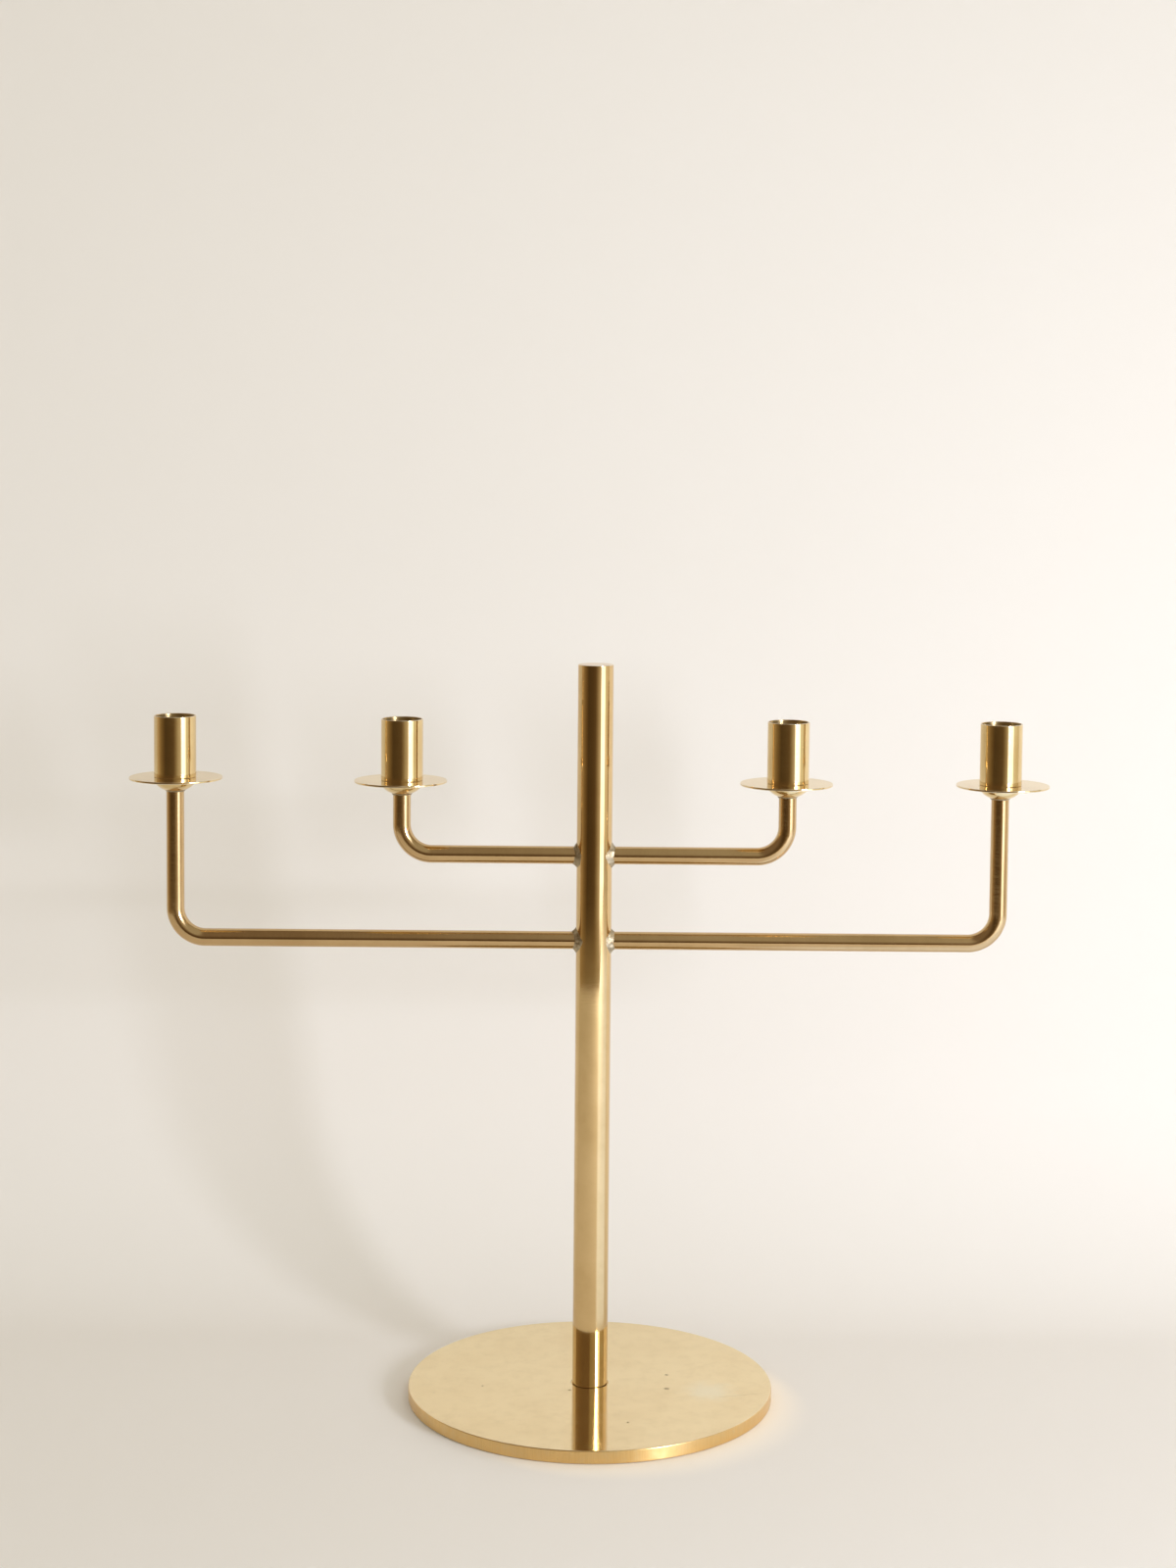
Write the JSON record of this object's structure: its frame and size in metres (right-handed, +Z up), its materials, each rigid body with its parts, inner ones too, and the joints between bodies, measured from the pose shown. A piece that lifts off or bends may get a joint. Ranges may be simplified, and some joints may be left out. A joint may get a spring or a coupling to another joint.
{
  "type": "candelabra",
  "caption": "Tabletop brass candelabra: a round base and straight column carrying bent arms, each with a drip plate and an open candle cup.",
  "frame": {"origin": "centre of the underside, on the column's axis, where the felt rests on the table", "axes": "+Z up along the column, +X to the right along the arms as seen from the front, +Y to the back"},
  "size_m": [0.5171, 0.207, 0.4195],
  "materials": {
    "base_brass": "lathe-turned and polished, lightly worn",
    "rod_brass": "polished bar with a light patina",
    "sheet_brass": "polished",
    "solder": "soft solder, bright where filed",
    "felt": "felt",
    "steel": "plain steel bolt"
  },
  "bodies": {
    "root": {"base_plate": "base_brass", "base_felt": "felt", "column_bolt": "steel", "column": "rod_brass", "outer_left_arm": "rod_brass", "outer_left_arm_solder": "solder", "outer_left_seat_solder": "solder", "outer_left_cup_seat": "sheet_brass", "outer_left_drip_plate": "sheet_brass", "outer_left_candle_cup": "sheet_brass", "outer_left_cup_screw": "sheet_brass", "inner_left_arm": "rod_brass", "inner_left_arm_solder": "solder", "inner_left_seat_solder": "solder", "inner_left_cup_seat": "sheet_brass", "inner_left_drip_plate": "sheet_brass", "inner_left_candle_cup": "sheet_brass", "inner_left_cup_screw": "sheet_brass", "inner_right_arm": "rod_brass", "inner_right_arm_solder": "solder", "inner_right_seat_solder": "solder", "inner_right_cup_seat": "sheet_brass", "inner_right_drip_plate": "sheet_brass", "inner_right_candle_cup": "sheet_brass", "inner_right_cup_screw": "sheet_brass", "outer_right_arm": "rod_brass", "outer_right_arm_solder": "solder", "outer_right_seat_solder": "solder", "outer_right_cup_seat": "sheet_brass", "outer_right_drip_plate": "sheet_brass", "outer_right_candle_cup": "sheet_brass", "outer_right_cup_screw": "sheet_brass"}
  },
  "joints": []
}
